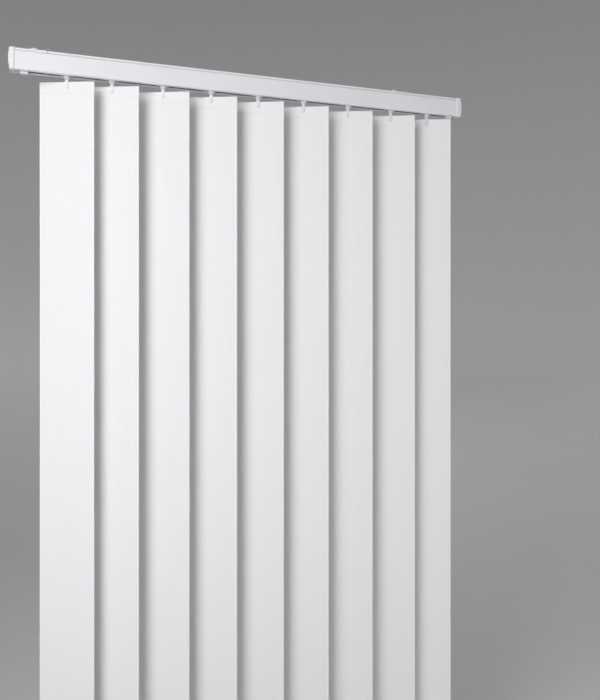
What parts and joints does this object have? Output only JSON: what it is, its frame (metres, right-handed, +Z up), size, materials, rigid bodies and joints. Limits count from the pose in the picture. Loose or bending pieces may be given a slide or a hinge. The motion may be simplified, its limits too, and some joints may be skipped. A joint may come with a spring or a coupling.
{
  "type": "vertical blind",
  "caption": "Vertical blind: slotted headrail on clip brackets, with worm-driven carriers and hooks that hang fabric slats, which tilt together and draw to one side.",
  "frame": {"origin": "on the ceiling, midway between the two bracket screws", "axes": "+X along the rail, away from the side where the slats stack; -Y towards the room; +Z up"},
  "size_m": [0.7963, 0.032, 1.2964],
  "materials": {
    "rail_coating": "satin white powder coat on extruded aluminium",
    "cap_plastic": "moulded white plastic, fine satin",
    "bracket_coating": "white coated spring steel",
    "rod_metal": "plain drawn aluminium",
    "carrier_plastic": "moulded grey plastic",
    "worm_plastic": "moulded grey plastic",
    "hook_plastic": "moulded white plastic",
    "slat_fabric": "stiffened plain-woven white polyester",
    "hanger_plastic": "moulded white plastic sheet",
    "weight_metal": "white coated steel plate"
  },
  "bodies": {
    "headrail": {"headrail": "rail_coating", "end_cap_left": "cap_plastic", "end_cap_right": "cap_plastic", "ceiling_brackets": "bracket_coating"},
    "tilt_rod": {"tilt_rod": "rod_metal"},
    "carrier_1": {"carrier_1": "carrier_plastic"},
    "hook_1": {"hook_1": "hook_plastic", "slat_1": "slat_fabric", "hanger_1": "hanger_plastic", "weight_1": "weight_metal"},
    "worm_1": {"worm_1": "worm_plastic"},
    "carrier_2": {"carrier_2": "carrier_plastic"},
    "hook_2": {"hook_2": "hook_plastic", "slat_2": "slat_fabric", "hanger_2": "hanger_plastic", "weight_2": "weight_metal"},
    "worm_2": {"worm_2": "worm_plastic"},
    "carrier_3": {"carrier_3": "carrier_plastic"},
    "hook_3": {"hook_3": "hook_plastic", "slat_3": "slat_fabric", "hanger_3": "hanger_plastic", "weight_3": "weight_metal"},
    "worm_3": {"worm_3": "worm_plastic"},
    "carrier_4": {"carrier_4": "carrier_plastic"},
    "hook_4": {"hook_4": "hook_plastic", "slat_4": "slat_fabric", "hanger_4": "hanger_plastic", "weight_4": "weight_metal"},
    "worm_4": {"worm_4": "worm_plastic"},
    "carrier_5": {"carrier_5": "carrier_plastic"},
    "hook_5": {"hook_5": "hook_plastic", "slat_5": "slat_fabric", "hanger_5": "hanger_plastic", "weight_5": "weight_metal"},
    "worm_5": {"worm_5": "worm_plastic"},
    "carrier_6": {"carrier_6": "carrier_plastic"},
    "hook_6": {"hook_6": "hook_plastic", "slat_6": "slat_fabric", "hanger_6": "hanger_plastic", "weight_6": "weight_metal"},
    "worm_6": {"worm_6": "worm_plastic"},
    "carrier_7": {"carrier_7": "carrier_plastic"},
    "hook_7": {"hook_7": "hook_plastic", "slat_7": "slat_fabric", "hanger_7": "hanger_plastic", "weight_7": "weight_metal"},
    "worm_7": {"worm_7": "worm_plastic"},
    "carrier_8": {"carrier_8": "carrier_plastic"},
    "hook_8": {"hook_8": "hook_plastic", "slat_8": "slat_fabric", "hanger_8": "hanger_plastic", "weight_8": "weight_metal"},
    "worm_8": {"worm_8": "worm_plastic"},
    "carrier_9": {"carrier_9": "carrier_plastic"},
    "hook_9": {"hook_9": "hook_plastic", "slat_9": "slat_fabric", "hanger_9": "hanger_plastic", "weight_9": "weight_metal"},
    "worm_9": {"worm_9": "worm_plastic"}
  },
  "joints": [
    {"name": "carrier_1_traverse", "type": "slide", "parent": "headrail", "child": "carrier_1", "axis": [1, 0, 0], "range_m": [-0.04492, 0]},
    {"name": "slat_1_tilt", "type": "hinge", "parent": "carrier_1", "child": "hook_1", "pos_m": [-0.2616, 0, 0], "axis": [0, 0, -1], "range_deg": [-12, 152]},
    {"name": "worm_1_spin", "type": "hinge", "parent": "carrier_1", "child": "worm_1", "pos_m": [-0.2616, 0.00546, -0.02994], "axis": [1, 0, 0], "range_deg": [-144, 1824]},
    {"name": "carrier_2_traverse", "type": "slide", "parent": "headrail", "child": "carrier_2", "axis": [1, 0, 0], "range_m": [-0.09128, 0]},
    {"name": "slat_2_tilt", "type": "hinge", "parent": "carrier_2", "child": "hook_2", "pos_m": [-0.19123, 0, 0], "axis": [0, 0, -1], "range_deg": [-12, 152]},
    {"name": "worm_2_spin", "type": "hinge", "parent": "carrier_2", "child": "worm_2", "pos_m": [-0.19123, 0.00546, -0.02994], "axis": [1, 0, 0], "range_deg": [-144, 1824]},
    {"name": "carrier_3_traverse", "type": "slide", "parent": "headrail", "child": "carrier_3", "axis": [1, 0, 0], "range_m": [-0.15006, 0]},
    {"name": "slat_3_tilt", "type": "hinge", "parent": "carrier_3", "child": "hook_3", "pos_m": [-0.10845, 0, 0], "axis": [0, 0, -1], "range_deg": [-12, 152]},
    {"name": "worm_3_spin", "type": "hinge", "parent": "carrier_3", "child": "worm_3", "pos_m": [-0.10845, 0.00546, -0.02994], "axis": [1, 0, 0], "range_deg": [-144, 1824]},
    {"name": "carrier_4_traverse", "type": "slide", "parent": "headrail", "child": "carrier_4", "axis": [1, 0, 0], "range_m": [-0.20718, 0]},
    {"name": "slat_4_tilt", "type": "hinge", "parent": "carrier_4", "child": "hook_4", "pos_m": [-0.02733, 0, 0], "axis": [0, 0, -1], "range_deg": [-12, 152]},
    {"name": "worm_4_spin", "type": "hinge", "parent": "carrier_4", "child": "worm_4", "pos_m": [-0.02733, 0.00546, -0.02994], "axis": [1, 0, 0], "range_deg": [-144, 1824]},
    {"name": "carrier_5_traverse", "type": "slide", "parent": "headrail", "child": "carrier_5", "axis": [1, 0, 0], "range_m": [-0.26596, 0]},
    {"name": "slat_5_tilt", "type": "hinge", "parent": "carrier_5", "child": "hook_5", "pos_m": [0.05545, 0, 0], "axis": [0, 0, -1], "range_deg": [-12, 152]},
    {"name": "worm_5_spin", "type": "hinge", "parent": "carrier_5", "child": "worm_5", "pos_m": [0.05545, 0.00546, -0.02994], "axis": [1, 0, 0], "range_deg": [-144, 1824]},
    {"name": "carrier_6_traverse", "type": "slide", "parent": "headrail", "child": "carrier_6", "axis": [1, 0, 0], "range_m": [-0.32474, 0]},
    {"name": "slat_6_tilt", "type": "hinge", "parent": "carrier_6", "child": "hook_6", "pos_m": [0.13823, 0, 0], "axis": [0, 0, -1], "range_deg": [-12, 152]},
    {"name": "worm_6_spin", "type": "hinge", "parent": "carrier_6", "child": "worm_6", "pos_m": [0.13823, 0.00546, -0.02994], "axis": [1, 0, 0], "range_deg": [-144, 1824]},
    {"name": "carrier_7_traverse", "type": "slide", "parent": "headrail", "child": "carrier_7", "axis": [1, 0, 0], "range_m": [-0.38476, 0]},
    {"name": "slat_7_tilt", "type": "hinge", "parent": "carrier_7", "child": "hook_7", "pos_m": [0.22225, 0, 0], "axis": [0, 0, -1], "range_deg": [-12, 152]},
    {"name": "worm_7_spin", "type": "hinge", "parent": "carrier_7", "child": "worm_7", "pos_m": [0.22225, 0.00546, -0.02994], "axis": [1, 0, 0], "range_deg": [-144, 1824]},
    {"name": "carrier_8_traverse", "type": "slide", "parent": "headrail", "child": "carrier_8", "axis": [1, 0, 0], "range_m": [-0.44479, 0]},
    {"name": "slat_8_tilt", "type": "hinge", "parent": "carrier_8", "child": "hook_8", "pos_m": [0.30628, 0, 0], "axis": [0, 0, -1], "range_deg": [-12, 152]},
    {"name": "worm_8_spin", "type": "hinge", "parent": "carrier_8", "child": "worm_8", "pos_m": [0.30628, 0.00546, -0.02994], "axis": [1, 0, 0], "range_deg": [-144, 1824]},
    {"name": "carrier_9_traverse", "type": "slide", "parent": "headrail", "child": "carrier_9", "axis": [1, 0, 0], "range_m": [-0.49445, 0]},
    {"name": "slat_9_tilt", "type": "hinge", "parent": "carrier_9", "child": "hook_9", "pos_m": [0.37995, 0, 0], "axis": [0, 0, -1], "range_deg": [-12, 152]},
    {"name": "worm_9_spin", "type": "hinge", "parent": "carrier_9", "child": "worm_9", "pos_m": [0.37995, 0.00546, -0.02994], "axis": [1, 0, 0], "range_deg": [-144, 1824]},
    {"name": "tilt_rod_spin", "type": "hinge", "parent": "headrail", "child": "tilt_rod", "pos_m": [0, 0.00546, -0.02994], "axis": [1, 0, 0], "range_deg": [-144, 1824]}
  ],
  "couplings": [
    {"joint": "carrier_1_traverse", "follows": "carrier_9_traverse", "ratio": 0.090818},
    {"joint": "slat_1_tilt", "follows": "slat_5_tilt", "ratio": 1},
    {"joint": "worm_1_spin", "follows": "slat_5_tilt", "ratio": 12},
    {"joint": "carrier_2_traverse", "follows": "carrier_9_traverse", "ratio": 0.18458},
    {"joint": "slat_2_tilt", "follows": "slat_5_tilt", "ratio": 1},
    {"joint": "worm_2_spin", "follows": "slat_5_tilt", "ratio": 12},
    {"joint": "carrier_3_traverse", "follows": "carrier_9_traverse", "ratio": 0.30346},
    {"joint": "slat_3_tilt", "follows": "slat_5_tilt", "ratio": 1},
    {"joint": "worm_3_spin", "follows": "slat_5_tilt", "ratio": 12},
    {"joint": "carrier_4_traverse", "follows": "carrier_9_traverse", "ratio": 0.419},
    {"joint": "slat_4_tilt", "follows": "slat_5_tilt", "ratio": 1},
    {"joint": "worm_4_spin", "follows": "slat_5_tilt", "ratio": 12},
    {"joint": "carrier_5_traverse", "follows": "carrier_9_traverse", "ratio": 0.53787},
    {"joint": "worm_5_spin", "follows": "slat_5_tilt", "ratio": 12},
    {"joint": "carrier_6_traverse", "follows": "carrier_9_traverse", "ratio": 0.65675},
    {"joint": "slat_6_tilt", "follows": "slat_5_tilt", "ratio": 1},
    {"joint": "worm_6_spin", "follows": "slat_5_tilt", "ratio": 12},
    {"joint": "carrier_7_traverse", "follows": "carrier_9_traverse", "ratio": 0.77815},
    {"joint": "slat_7_tilt", "follows": "slat_5_tilt", "ratio": 1},
    {"joint": "worm_7_spin", "follows": "slat_5_tilt", "ratio": 12},
    {"joint": "carrier_8_traverse", "follows": "carrier_9_traverse", "ratio": 0.89954},
    {"joint": "slat_8_tilt", "follows": "slat_5_tilt", "ratio": 1},
    {"joint": "worm_8_spin", "follows": "slat_5_tilt", "ratio": 12},
    {"joint": "slat_9_tilt", "follows": "slat_5_tilt", "ratio": 1},
    {"joint": "worm_9_spin", "follows": "slat_5_tilt", "ratio": 12},
    {"joint": "tilt_rod_spin", "follows": "slat_5_tilt", "ratio": 12}
  ]
}
